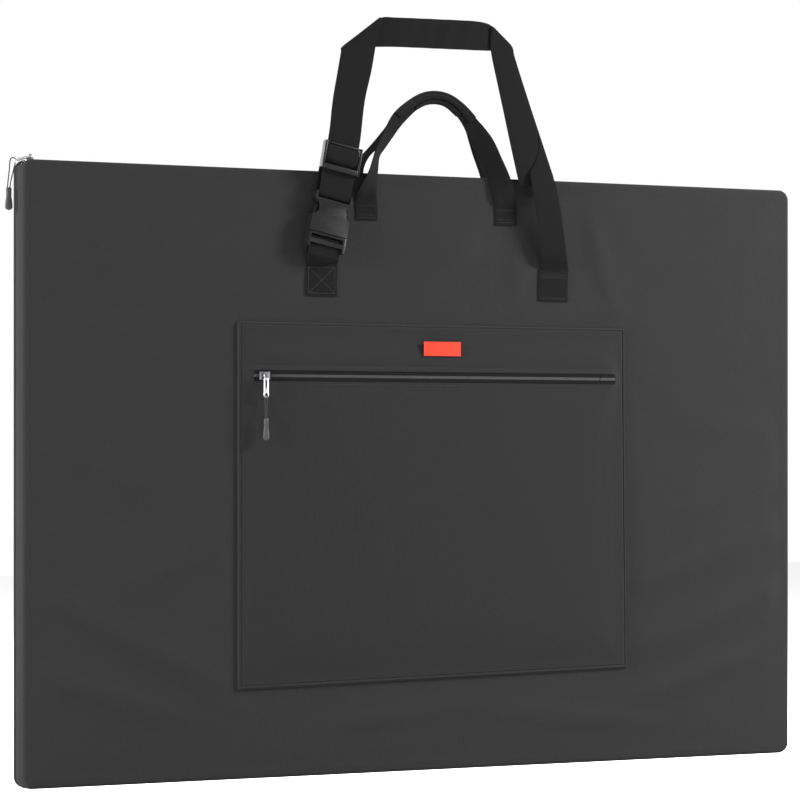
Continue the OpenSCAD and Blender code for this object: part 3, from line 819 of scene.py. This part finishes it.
def make_pocket_zip():
    """The pocket's zip: its middle part, which folds, its sewn ends, the slider and its tab."""
    x0, x1 = POCKET_PART_X
    ends = (("left", POCKET_ZIP_X[0], x0 - 0.5), ("right", x1 + 0.5, POCKET_ZIP_X[1]))
    for side, word in ((1, "upper"), (-1, "lower")):
        profile = [
            (POCKET_ZIP_Y - 0.4, POCKET_ZIP_Z + side * 1.4),
            (POCKET_ZIP_Y - 0.4, POCKET_ZIP_Z + side * 5.0),
            (POCKET_ZIP_Y + 0.4, POCKET_ZIP_Z + side * 5.0),
            (POCKET_ZIP_Y + 0.4, POCKET_ZIP_Z + side * 1.4),
        ][::side]
        body = "pocket_zip_" + word
        tape(f"pocket_{word}_tape_cloth", x0, x1, profile, body, [f"pocket_{word}_tape"])
        teeth(f"pocket_{word}_teeth", x0, x1, POCKET_ZIP_Y, POCKET_ZIP_Z, False, side, body,
              [f"pocket_{word}_coil"], reach=1.6)
        for end, a, b in ends:
            tape(f"pocket_zip_{end}_{word}_tape", a, b, profile, "case", ["pocket_zip_ends"])
            teeth(f"pocket_zip_{end}_{word}_teeth", a, b, POCKET_ZIP_Y, POCKET_ZIP_Z, False, side,
                  "case", ["pocket_zip_ends"], reach=1.6)
    rounded("pocket_slider", 0.4, DARK_METAL, "pocket_slider")
    rounded("pocket_pull_tab", 0.3, METAL, "pocket_pull")
    tab_rims("pocket_tab_rims", (POCKET_SLIDER_X, PULL_Y, POCKET_ZIP_Z), (0, 0, -1), (1, 0, 0),
             2.0, 19.7, "pocket_pull")


# ---------- front pocket ----------

POCKET_CREASES = (
    ((60, 100), (235, 150), 22, 0.7),
    ((110, 110), (225, 240), 26, 0.5),
    ((-215, 380), (-80, 405), 12, 0.5),
    ((120, 404), (228, 385), 12, 0.5),
    ((-220, 130), (-60, 110), 20, 0.5),
    ((-210, 300), (-130, 180), 24, 0.4),
)


def pocket_depth(x, z):
    """How far the pocket's front stands out at a place, as a depth in the frame."""
    e = in_pocket(x, z)
    turned = min(1.0, max(0.0, e) / HEM_TURN)
    ridge = 2.5 * math.sqrt(max(0.0, 1 - (1 - turned) ** 2))
    groove = 0.75 * math.exp(-((e - 3.3) / 0.8) ** 2)
    at_zip = math.exp(-((z - POCKET_ZIP_Z) / 30) ** 2)
    rise = 2.9 * ease(4.0, 62.0 - 44.0 * at_zip, e)
    wave = noise.fractal(Vector((x / 90, z / 90, 3.7)), 1.0, 2.0, 2)
    soft = (0.25 + 0.3 * wave + crease_height(x, z, POCKET_CREASES)) * ease(6, 30, e)
    near_zip = math.exp(-((z - POCKET_ZIP_Z) / 16) ** 2)
    fold = 0.55 * math.exp(-((abs(z - POCKET_ZIP_Z) - 6.6) / 1.5) ** 2) * ease(10, 18, e)
    dip = 0.35 * math.exp(-((z - POCKET_ZIP_Z - 10.5) / 0.9) ** 2) * ease(10, 18, e)
    return FACE_Y - ridge - rise - soft * (1 - 0.75 * near_zip) + groove - fold + dip


def pocket_skew(x, z):
    """The pocket is sewn on a little crooked: its foot rises to the right."""
    across = (x - POCKET_X[0]) / (POCKET_X[1] - POCKET_X[0])
    low = max(0.0, (POCKET_ZIP_Z - 10 - z) / (POCKET_ZIP_Z - 10 - POCKET_Z[0]))
    return x + across * (3.2 * low - 2.2), z + low * (9.5 * across - 3.5)


def pocket_point(x, z, out=0.0):
    """A point of the pocket's front, out in front of it."""
    sx, sz = pocket_skew(x, z)
    return Vector((sx, pocket_depth(x, z) - out, sz)) * MM


def spread(a, b, step, edges):
    """Places from a to b, with finer ones over the listed stretches of (from, to, step)."""
    places = [a]
    while places[-1] < b - 1e-6:
        here = places[-1]
        size = step
        for low, high, fine in edges:
            if low - 1e-6 <= here < high - 1e-6:
                size = min(fine, high - here)
            elif here < low:
                size = min(size, low - here)
        places.append(min(b, here + size))
    return places


def fine_edges(low, high, *more):
    """The stretches near a pocket's edges that need finer cells."""
    return ((low, low + 7, 0.45), (low + 7, low + 20, 2.2), *more,
            (high - 20, high - 7, 2.2), (high - 7, high, 0.45))


FINE_X = fine_edges(*POCKET_X)
FINE_Z = fine_edges(*POCKET_Z, (POCKET_ZIP_Z - 12, POCKET_ZIP_Z + 14, 0.9))


def pocket_cloth(name, x0, x1, z0, z1, replaces):
    """A stretch of the pocket's front, 1 mm thick, closed round its edges."""
    xs = spread(x0, x1, 5.0, FINE_X)
    zs = spread(z0, z1, 5.0, FINE_Z)
    verts = []
    for back in (0, 1):
        for z in zs:
            for x in xs:
                point = pocket_point(x, z, -back)
                if back:
                    point.y = min(point.y, (FACE_Y - 0.1) * MM)
                verts.append(point)
    rows, columns = len(zs), len(xs)
    count = rows * columns
    faces = grid_faces(rows, columns)
    faces += [tuple(count + k for k in reversed(f)) for f in faces]
    ring = [i * columns + j for i, j in border(columns, rows)]
    for k in range(len(ring)):
        a, b = ring[k], ring[(k + 1) % len(ring)]
        faces.append((b, a, a + count, b + count))
    return make_piece(name, verts, faces, POCKET, "case", replaces)


def make_pocket():
    """The hems, the panel and the band above it, their stitches and the label."""
    low, high = POCKET_ZIP_Z - 5.5, POCKET_ZIP_Z + 5.5
    a, b = POCKET_ZIP_X
    foot, head = POCKET_Z[0] + HEM, POCKET_Z[1] - HEM
    hems = [
        pocket_cloth("pocket_hem_left", POCKET_X[0], a, *POCKET_Z, ["pocket_side_hems"]),
        pocket_cloth("pocket_hem_right", b, POCKET_X[1], *POCKET_Z, ["pocket_side_hems"]),
        pocket_cloth("pocket_hem_low", a, b, POCKET_Z[0], foot, ["pocket_end_hems"]),
    ]
    top_hem = pocket_cloth("pocket_hem_top", a, b, head, POCKET_Z[1], ["pocket_end_hems"])
    panel = pocket_cloth("pocket_panel_cloth", a, b, foot, low, ["pocket_panel"])
    band = pocket_cloth("pocket_band_cloth", a, b, high, head, ["pocket_band"])
    x0, x1 = POCKET_X[0] + STITCH_IN, POCKET_X[1] - STITCH_IN
    z0, z1 = POCKET_Z[0] + STITCH_IN, POCKET_Z[1] - STITCH_IN
    corners = [(x0, z1), (x0, z0), (x1, z0), (x1, z1)]
    runs = list(zip(corners, corners[1:] + corners[:1]))
    for z in (POCKET_ZIP_Z + 10.5, POCKET_ZIP_Z - 8.6):
        runs.append(((a + 1, z), (b - 1, z)))
    lines = []
    for (ax, az), (bx, bz) in runs:
        count = int(math.dist((ax, az), (bx, bz)) / 4)
        line = []
        for k in range(count + 1):
            point = pocket_point(ax + (bx - ax) * k / count, az + (bz - az) * k / count, 0.02)
            line.append((point, Vector((0, -1, 0))))
        lines.append(line)
    stitches("pocket_stitches", lines, THREAD, "case", pitch=3.2, length=2.3, radius=0.24)
    rounded("pocket_label", 0.4, LABEL, "case")


# ---------- sewn ends of webbing ----------

def sewn_patch(name, x0, x1, z0, z1, side, node, wave=0.0):
    """An end of webbing sewn flat on a cover."""
    rows = []
    count = 14
    y = side * (-FACE_Y + 0.95)
    for k in range(count + 1):
        t = k / count
        z = z0 + (z1 - z0) * t
        sway = wave * math.sin(5 * t)
        rows.append((Vector((x0 + sway, y, z)) * MM, Vector((x1 + sway, y, z)) * MM))
    ribbon(name, rows, "case", [node])


def patch_stitches(name, x0, x1, z0, z1, side, rows_only=()):
    """A sewn box with a cross in it, or plain rows across the webbing."""
    y = side * (-FACE_Y + 1.75)
    inset = 3.0
    a, b, c, d = x0 + inset, x1 - inset, z0 + inset, z1 - inset
    if rows_only:
        runs = [((a, z), (b, z)) for z in rows_only]
    else:
        runs = [((a, c), (b, c)), ((b, c), (b, d)), ((b, d), (a, d)), ((a, d), (a, c)),
                ((a, c), (b, d)), ((a, d), (b, c))]
    out = Vector((0, side, 0))
    lines = [[(Vector((x, y, z)) * MM, out) for x, z in run] for run in runs]
    stitches(name, lines, WEB_THREAD, "case", pitch=2.6, length=1.9, radius=0.22)


# ---------- handles ----------

# Rows of each handle as (outer x, z, depth, inner x, z, depth), seen on the face's plane
FRONT_LEFT = [
    (-89.6, 609, -13.5, -64.8, 609, -13.5),
    (-89.4, 614, -14.6, -64.8, 614, -14.4),
    (-85.5, 622, -19, -64.5, 622, -15.4),
    (-79, 632, -24, -63.6, 633, -14.8),
    (-73, 643, -27, -62.4, 645, -13.4),
    (-68.5, 655, -26, -60.5, 658, -11.5),
    (-64.2, 667, -21.5, -54, 667, -10),
    (-54, 687, -14.5, -42.2, 682, -8.5),
]
FRONT_GRIP = [
    (-42, 706, -9, -30, 697, -7),
    (-22, 721.5, -6.5, -15, 710, -5.6),
    (-6, 729, -5.2, -2.5, 716.2, -4.6),
    (11, 731, -4.8, 10.5, 718, -4.4),
    (28, 727.5, -5.2, 23.5, 715.4, -4.8),
    (45, 717.5, -6.6, 36.5, 706, -6),
    (59, 705, -9, 47, 693, -7.5),
]
FRONT_RIGHT = [
    (71, 694, -14, 52.5, 681, -9),
    (82.5, 681, -18, 58.5, 668, -10.5),
    (93, 662, -21, 66.5, 654, -12),
    (101.5, 646, -21.5, 73, 641, -13.4),
    (107.5, 631, -20, 79.5, 628, -15),
    (110.6, 618, -16.5, 83.5, 617, -15.2),
    (111.4, 609, -13.5, 84.8, 609, -13.5),
]
BACK_LEFT = [
    (-106.5, 609, 13.5, -80.5, 609, 13.5),
    (-106, 616, 15.2, -80, 616, 15),
    (-103, 630, 18, -80.5, 630, 15.2),
    (-97, 643, 20, -79.5, 645, 14),
    (-86, 655, 18, -72.5, 658, 11),
    (-73, 668, 13, -60.5, 668, 7.5),
    (-55.5, 687, 5, -43.8, 681, 2.5),
]
BACK_GRIP = [
    (-41, 704.5, 0, -30.5, 695.5, -1),
    (-21.5, 719.5, -0.8, -15.5, 709, -1.2),
    (-5.5, 727, -1, -2.8, 715.4, -1.2),
    (11, 729, -1, 10.4, 717.2, -1.2),
    (27.5, 725.5, -1, 23, 714.4, -1.2),
    (44, 715.5, -0.8, 36, 705, -1.2),
    (57, 703, 0, 46, 692, -1),
]
BACK_RIGHT = [
    (66, 690, 7, 51, 679, 4),
    (75, 676, 12, 55.5, 666, 8),
    (84.5, 660, 16.5, 60.5, 654, 11.5),
    (91, 644, 18.5, 65.5, 641, 14.4),
    (94, 629, 18, 68, 627, 15.2),
    (95, 616, 15.2, 69, 616, 15),
    (95.3, 609, 13.5, 69.3, 609, 13.5),
]


def handle_rows(rows):
    """Turns seen rows into edge points, with smooth steps between them."""
    return between([(seen(ox, oz, oy), seen(ix, iz, iy)) for ox, oz, oy, ix, iz, iy in rows], 5)


def handle_layer(grip, side, *edges):
    """A layer over the grip. edges: each edge's (share across the grip, lift off it)."""
    return [[outer.lerp(inner, share) + Vector((0, side * lift * MM, 0)) for share, lift in edges]
            for outer, inner in handle_rows(grip)]


def make_handle(side, left, grip, right):
    """A webbing handle, folded over along its grip, and its two sewn ends."""
    word = "front" if side < 0 else "back"
    body = word + "_handle"
    web = ribbon(body + "_web", handle_rows(left + grip + right), replaces=[body], thickness=1.7,
                 across=12)
    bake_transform(web)
    flap = handle_layer(grip, side, (-0.02, 1.75), (0.62, 1.575))
    ribbon(body + "_fold", flap, body, ripple=lambda run, c: 0.25 * math.sin(run / 5.5) * (c > 0))
    roll = handle_layer(grip[1:-1], side, (0.74, 1.5), (1.02, 1.2))
    ribbon(body + "_roll", roll, body, thickness=1.4)
    out = Vector((0, side, 0))
    lines = [[(outer.lerp(inner, share) + out * 0.78 * MM, out) for outer, inner in flap]
             for share in (0.1, 0.52)]
    stitches(body + "_stitches", lines, WEB_THREAD, body, pitch=2.8, length=2.0, radius=0.2)
    node = body + "_ends"
    lo, hi = (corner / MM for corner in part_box(node))
    top = HANDLE_FOLD_Z - 1
    for end, x in (("left", lo.x), ("right", hi.x - HANDLE_W)):
        name = f"{body}_end_{end}"
        sewn_patch(name, x, x + HANDLE_W, lo.z, top, side, node, wave=0.3)
        patch_stitches(name + "_stitches", x, x + HANDLE_W, lo.z, top, side, (592, 595, 605))


# ---------- shoulder strap ----------

def leg_row(s, y, half=STRAP_W / 2):
    """A row across the buckle's leg, s along it and y behind its middle plane."""
    return (on_leg(-half, y, s), on_leg(half, y, s))


def seen_row(lx, lz, rx, rz, back=0.0, left_back=None):
    """A row of the strap's front layer, from where its edges are seen."""
    first = back if left_back is None else left_back
    return (seen(lx, lz, strap_depth(lz) + first), seen(rx, rz, strap_depth(rz) + back))


# Rows across the strap as (left x, z, right x, z, set back, left edge's own set back)
STRAP_LEFT = (
    (-117.5, 716, -78.8, 716), (-111.5, 747, -71, 747), (-107.6, 767, -66.6, 769),
    (-106.6, 772.5, -65.2, 777), (-90.5, 784.5, -62.6, 786.5), (-74, 796.5, -60.2, 797),
    (-60, 806.8, -57.4, 804.5),
)
STRAP_BAND = (
    (-78, 792, -80, 773, 1.7), (-68, 799.5, -72, 774, 1.8), (-57.4, 806.8, -64.8, 774.8, 1.8),
    (-40, 807.6, -44, 776, 1.7), (-15, 808.2, -15, 776.6, 1.5), (12, 808.7, 12, 777, 1.5),
    (40, 809.2, 42, 777.5, 1.5), (60, 809.2, 62, 777.8, 1.6), (72, 808, 72, 778, 1.8),
    (80.5, 804.8, 79, 778.4, 1.9), (92, 796, 88, 780, 1.9), (99, 790, 97, 782, 1.9),
)
STRAP_RIGHT = (
    (80, 804.2, 82, 804.6), (79.4, 795, 94.5, 794.4), (78.9, 783, 106, 784.2),
    (80.2, 772.5, 109, 774), (85.5, 751, 117.5, 751), (94.5, 716, 131, 716),
    (103.5, 680, 145.2, 680), (110, 655, 155, 655), (113.4, 642, 160, 641, 0.6, 1.6),
    (116, 634, 158, 630, 2.2, 2.4),
)
STRAP_FALL = (
    (139.6, 690, 140.6, 690, -0.3), (140.2, 672, 147.6, 672, -0.6),
    (134.2, 656, 154.2, 656, -1.1), (129.6, 647, 157.8, 646, -1.7),
    (131.6, 636, 162.4, 635, -2), (135.6, 614, 167.6, 614, -1.6),
    (139, 592, 171.2, 592, 0.5), (142, 570, 175.2, 569, 3),
    (143.6, 556, 177.2, 554, 6.5), (144, 549, 178, 547.5, 10),
    (143.8, 544, 178.3, 543, 12.6), (143.6, 540, 178.4, 540, 13.7),
)
# Where the left leg turns round the socket's bar and climbs, as (along the leg, depth)
LEG_LOOP = (
    (60.6, LAYER_BACK), (58.6, 3.3), (56.4, 2), (55, 0.2), (54.8, -1.2), (55.8, -3),
    (58.2, -4.2), (62, -5), (68, LAYER_FRONT), (82, LAYER_FRONT), (96, LAYER_FRONT),
    (110, LAYER_FRONT), (128, LAYER_FRONT),
)


def strap_rows(rows):
    """Turns a table of seen rows into edge points."""
    return [seen_row(*row) for row in rows]


def make_strap():
    """The strap's left leg, the band over the top, the right leg and its fall to the case."""
    left = [leg_row(*row) for row in LEG_LOOP] + strap_rows(STRAP_LEFT)
    turn = len(LEG_LOOP) - 1
    left = between(left[:turn], 3)[:-1] + between(left[turn - 1:], 4)
    ribbon("strap_left_leg", left, "strap", ["shoulder_strap"], across=12)

    def puckers(run, c):
        return 0.45 * math.sin(run / 3.9 + 1.4 * c) * math.exp(-((run - 95) / 45) ** 2)

    ribbon("strap_top_band", between(strap_rows(STRAP_BAND), 7), "strap", across=14,
           ripple=puckers)
    ribbon("strap_right_leg", between(strap_rows(STRAP_RIGHT), 5), "strap", across=12)
    fall = ribbon("strap_right_fall", between(strap_rows(STRAP_FALL), 6), across=12)
    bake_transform(fall)


def make_strap_ends():
    """The two ends sewn to the case, and the turn of webbing from the left one to the buckle."""
    for word in ("left", "right"):
        node = "strap_end_" + word
        lo, hi = (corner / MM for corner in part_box(node))
        sewn_patch(node + "_web", lo.x, hi.x, lo.z, hi.z, -1, node, wave=-0.4)
        if word == "left":
            patch_stitches(node + "_stitches", lo.x, hi.x, lo.z, hi.z - 1, -1)
        else:
            patch_stitches(node + "_stitches", lo.x, hi.x, lo.z, hi.z, -1,
                           rows_only=(lo.z + 3, hi.z - 8.4, hi.z - 5.6))
    sewn = ((-151, -113, -13.3, 539.5), (-151, -113, -14.2, 542), (-151.8, -114.0, -17.6, 545))
    rows = [(Vector((a, y, z)) * MM, Vector((b, y, z)) * MM) for a, b, y, z in sewn]
    rows += [leg_row(-8, -1.5, 18.6), leg_row(-3, -1.9, 18.4), leg_row(4, -2.0, 18.4)]
    turn = ribbon("strap_left_turn", between(rows, 5), thickness=1.3)
    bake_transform(turn)


def make_buckle():
    """The buckle, its latch arms, and the webbing round the plug's bar."""
    rounded("buckle_socket", 1.1, PLASTIC, "strap", segments=4)
    rounded("buckle_plug", 0.6, PLASTIC, "plug")
    for word in ("left", "right"):
        rounded(word + "_latch_arm", 0.7, PLASTIC, word + "_latch")
    half = 18.6
    rows = [leg_row(-6, -0.7, half), leg_row(2, -1.0, half), leg_row(8, -1.9, half)]
    for k in range(9):
        a = math.pi * k / 8
        rows.append(leg_row(10.4 + 2.75 * math.sin(a), 0.5 - 2.75 * math.cos(a), half))
    rows += [leg_row(6, 3.1, half), leg_row(-2, 3.2, half), leg_row(-8, 3.6, half)]
    web = ribbon("buckle_web_loop", between(rows, 2), replaces=["buckle_web"], thickness=1.2)
    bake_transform(web)


def make_adjuster():
    """Three-bar adjuster, the webbing over its middle and the layer that runs back."""
    bars = (
        # low and high place along the leg, front and back depth
        (-14.6, -9.2, -10.2, -7.0),
        (13.2, 15.5, -8.6, -6.6),
        (-2.2, 8.0, -4.3, -2.3),
    )
    verts, faces = [], []

    def block(x0, x1, y0, y1, s0, s1):
        base = len(verts)
        for x in (x0, x1):
            for y in (y0, y1):
                for s in (s0, s1):
                    verts.append(on_leg(x, y, ADJUSTER_S + s))
        for f in ((0, 1, 3, 2), (4, 6, 7, 5), (0, 4, 5, 1), (2, 3, 7, 6), (0, 2, 6, 4), (1, 5, 7, 3)):
            faces.append(tuple(base + k for k in f))

    for s0, s1, y0, y1 in bars:
        block(-20.5, 20.5, y0, y1, s0, s1)
    for side in (-1, 1):
        x0, x1 = sorted((side * 19.9, side * 22.8))
        block(x0, x1, -9.6, -2.2, -14.6, 15.5)
    obj = make_piece("adjuster_frame", verts, faces, PLASTIC, "adjuster", ["strap_adjuster"])
    round_edges(obj, 1.1, 4, 30, False)
    half = 18.9
    rows = [leg_row(ADJUSTER_S + s, y, half) for s, y in (
        (-6.4, -6.4), (-5.2, -6.9), (-3.6, -7.9), (-1, -8.5), (4, -8.7), (8.5, -8.5), (11.0, -7.9),
        (12.2, -7.0), (12.6, -6.4))]
    ribbon("adjuster_web", between(rows, 4), "adjuster", thickness=1.4)
    rows = [leg_row(s, y) for s, y in (
        (60.2, 3.55), (66, 3.7), (76, 4.2), (88, 4.0), (96, 2.6), (102, 0.4), (107, -1.4))]
    back = ribbon("strap_return_web", between(rows, 4), replaces=["strap_return"], thickness=1.4)
    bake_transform(back)


# ---------- stage ----------

def make_stage():
    """A plain pale floor under a white sky."""
    floor_data = bpy.data.materials.new("floor")
    floor_data.use_nodes = True
    shader = floor_data.node_tree.nodes["Principled BSDF"]
    shader.inputs["Base Color"].default_value = (0.86, 0.86, 0.86, 1)
    shader.inputs["Roughness"].default_value = 0.75
    mesh = bpy.data.meshes.new("floor")
    size = 6.0
    mesh.from_pydata([(-size, -size, 0), (size, -size, 0), (size, size, 0), (-size, size, 0)], [],
                     [(0, 1, 2, 3)])
    mesh.materials.append(floor_data)
    floor = add_object("floor", mesh)
    world = bpy.data.worlds.new("studio")
    world.use_nodes = True
    world.node_tree.nodes["Background"].inputs["Color"].default_value = (1, 1, 1, 1)
    world.node_tree.nodes["Background"].inputs["Strength"].default_value = 1.0
    bpy.context.scene.world = world
    bpy.context.scene.view_settings.view_transform = "Standard"


def make_light(name, place, target, size, power):
    """A square lamp, size in metres and power in watts, that faces its target."""
    data = bpy.data.lights.new(name, "AREA")
    data.size = size
    data.energy = power
    obj = add_object(name, data)
    obj.location = place
    aim = Vector(target) - Vector(place)
    obj.rotation_euler = aim.to_track_quat("-Z", "Y").to_euler()


def make_lights():
    """A key from the right, a strong side lamp along the left edge and a soft back lamp."""
    make_light("key", (1.9, -0.8, 1.4), (0.25, 0, 0.42), 0.5, 250)
    make_light("side", (-2.3, -0.3, 0.9), (-0.3, 0, 0.32), 0.5, 200)
    make_light("back", (-0.8, 2.4, 1.6), (0, 0, 0.4), 1.2, 60)


make_camera()
make_pull_cords()
for side, creases, seed in ((-1, CREASES, 1.3), (1, CREASES[3:6], 8.1)):
    make_cover(side, creases, seed)
make_gusset()
finish_layers()
make_top_zip()
make_pocket()
make_pocket_zip()
make_handle(-1, FRONT_LEFT, FRONT_GRIP, FRONT_RIGHT)
make_handle(1, BACK_LEFT, BACK_GRIP, BACK_RIGHT)
make_strap()
make_strap_ends()
make_buckle()
make_adjuster()
make_stage()
make_lights()
